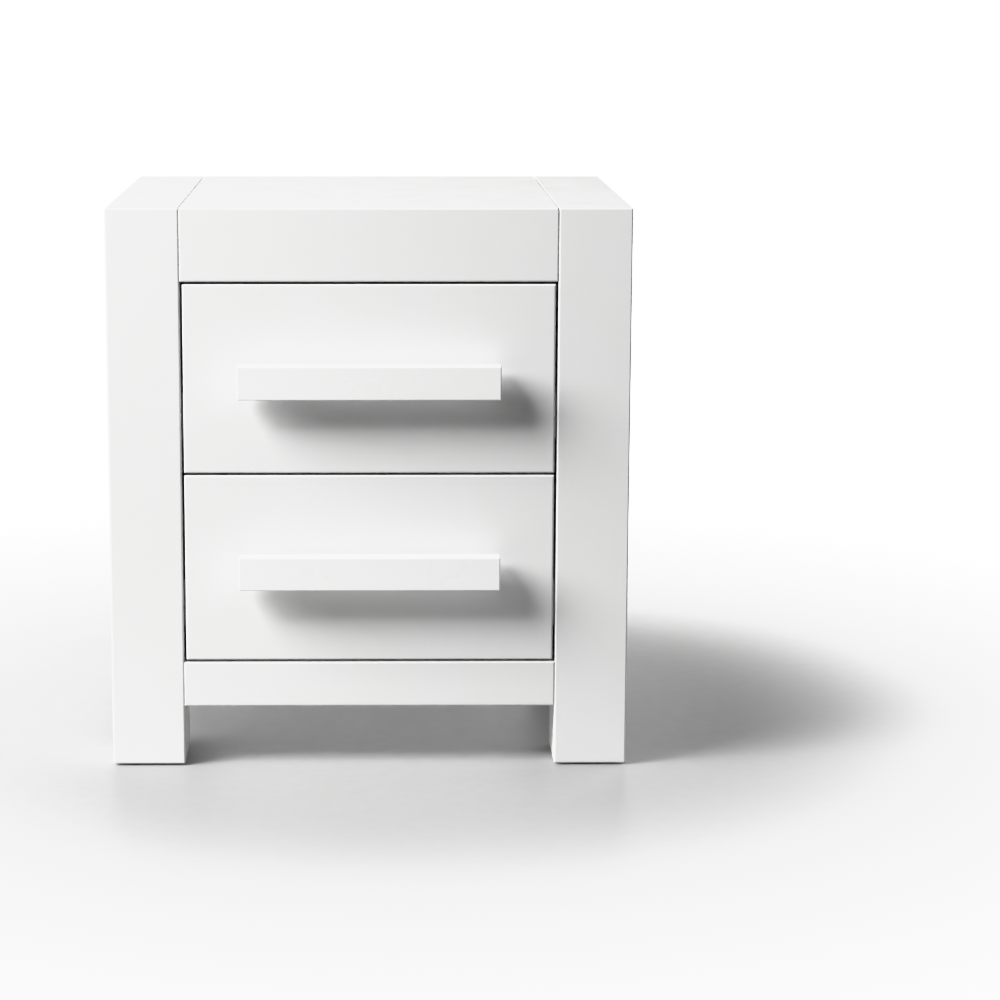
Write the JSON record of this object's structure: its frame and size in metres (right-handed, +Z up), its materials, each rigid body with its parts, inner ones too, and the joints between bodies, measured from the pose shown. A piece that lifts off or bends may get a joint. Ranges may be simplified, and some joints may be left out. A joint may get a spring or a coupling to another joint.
{
  "type": "nightstand",
  "caption": "White lacquered nightstand with a thick square frame on short feet, inset drawers on full-extension ball-bearing slides and stand-off bar handles.",
  "frame": {"origin": "centre of the bounding box in X and Y, handles included, at floor level under the glides", "axes": "+Z up; -Y the front, the way the drawers open; +X to the right for someone facing the front"},
  "size_m": [0.5, 0.428, 0.545],
  "materials": {
    "white_lacquer": "satin white lacquer over fibreboard",
    "white_hardboard": "thin white-coated hardboard",
    "birch_plywood": "clear matt lacquer on birch plywood",
    "slide_steel": "bright zinc plated steel strip",
    "bearing_steel": "polished balls in a plated strip cage",
    "screw_steel": "zinc plated",
    "cam_zinc": "raw die-cast zinc",
    "glide_plastic": "moulded matt plastic",
    "dowel_beech": "bare beech"
  },
  "bodies": {
    "carcass": {"front_left_post": "white_lacquer", "front_right_post": "white_lacquer", "rear_left_post": "white_lacquer", "rear_right_post": "white_lacquer", "left_top_rail": "white_lacquer", "right_top_rail": "white_lacquer", "left_bottom_rail": "white_lacquer", "right_bottom_rail": "white_lacquer", "left_side_panel": "white_lacquer", "right_side_panel": "white_lacquer", "left_liner_panel": "white_lacquer", "right_liner_panel": "white_lacquer", "top_board": "white_lacquer", "top_front_apron": "white_lacquer", "top_rear_apron": "white_lacquer", "front_bottom_rail": "white_lacquer", "rear_bottom_rail": "white_lacquer", "bottom_panel": "white_lacquer", "back_panel": "white_hardboard", "floor_glides": "glide_plastic", "cam_locks": "cam_zinc", "cam_bolts": "screw_steel", "dowels": "dowel_beech", "upper_left_slide_outer": "slide_steel", "upper_right_slide_outer": "slide_steel", "lower_left_slide_outer": "slide_steel", "lower_right_slide_outer": "slide_steel", "cabinet_slide_screws": "screw_steel"},
    "upper_drawer": {"upper_drawer_front": "white_lacquer", "upper_drawer_box_front": "birch_plywood", "upper_drawer_left_side": "birch_plywood", "upper_drawer_right_side": "birch_plywood", "upper_drawer_back": "birch_plywood", "upper_drawer_bottom": "birch_plywood", "upper_handle_bar": "white_lacquer", "upper_handle_spacers": "white_lacquer", "upper_handle_screws": "screw_steel", "upper_front_fixing_screws": "screw_steel", "upper_drawer_slide_screws": "screw_steel", "upper_left_slide_inner": "slide_steel", "upper_right_slide_inner": "slide_steel"},
    "upper_middle_members": {"upper_slide_middles": "slide_steel"},
    "upper_outer_cages": {"upper_outer_ball_cages": "bearing_steel"},
    "upper_inner_cages": {"upper_inner_ball_cages": "bearing_steel"},
    "lower_drawer": {"lower_drawer_front": "white_lacquer", "lower_drawer_box_front": "birch_plywood", "lower_drawer_left_side": "birch_plywood", "lower_drawer_right_side": "birch_plywood", "lower_drawer_back": "birch_plywood", "lower_drawer_bottom": "birch_plywood", "lower_handle_bar": "white_lacquer", "lower_handle_spacers": "white_lacquer", "lower_handle_screws": "screw_steel", "lower_front_fixing_screws": "screw_steel", "lower_drawer_slide_screws": "screw_steel", "lower_left_slide_inner": "slide_steel", "lower_right_slide_inner": "slide_steel"},
    "lower_middle_members": {"lower_slide_middles": "slide_steel"},
    "lower_outer_cages": {"lower_outer_ball_cages": "bearing_steel"},
    "lower_inner_cages": {"lower_inner_ball_cages": "bearing_steel"}
  },
  "joints": [
    {"name": "upper_drawer_slide", "type": "slide", "parent": "carcass", "child": "upper_drawer", "axis": [0, -1, 0], "range_m": [0, 0.35]},
    {"name": "upper_middle_slide", "type": "slide", "parent": "carcass", "child": "upper_middle_members", "axis": [0, -1, 0], "range_m": [0, 0.175]},
    {"name": "upper_outer_cage_slide", "type": "slide", "parent": "carcass", "child": "upper_outer_cages", "axis": [0, -1, 0], "range_m": [0, 0.0875]},
    {"name": "upper_inner_cage_slide", "type": "slide", "parent": "carcass", "child": "upper_inner_cages", "axis": [0, -1, 0], "range_m": [0, 0.2625]},
    {"name": "lower_drawer_slide", "type": "slide", "parent": "carcass", "child": "lower_drawer", "axis": [0, -1, 0], "range_m": [0, 0.35]},
    {"name": "lower_middle_slide", "type": "slide", "parent": "carcass", "child": "lower_middle_members", "axis": [0, -1, 0], "range_m": [0, 0.175]},
    {"name": "lower_outer_cage_slide", "type": "slide", "parent": "carcass", "child": "lower_outer_cages", "axis": [0, -1, 0], "range_m": [0, 0.0875]},
    {"name": "lower_inner_cage_slide", "type": "slide", "parent": "carcass", "child": "lower_inner_cages", "axis": [0, -1, 0], "range_m": [0, 0.2625]}
  ],
  "couplings": [
    {"joint": "upper_middle_slide", "follows": "upper_drawer_slide", "ratio": 0.5},
    {"joint": "upper_outer_cage_slide", "follows": "upper_drawer_slide", "ratio": 0.25},
    {"joint": "upper_inner_cage_slide", "follows": "upper_drawer_slide", "ratio": 0.75},
    {"joint": "lower_middle_slide", "follows": "lower_drawer_slide", "ratio": 0.5},
    {"joint": "lower_outer_cage_slide", "follows": "lower_drawer_slide", "ratio": 0.25},
    {"joint": "lower_inner_cage_slide", "follows": "lower_drawer_slide", "ratio": 0.75}
  ]
}
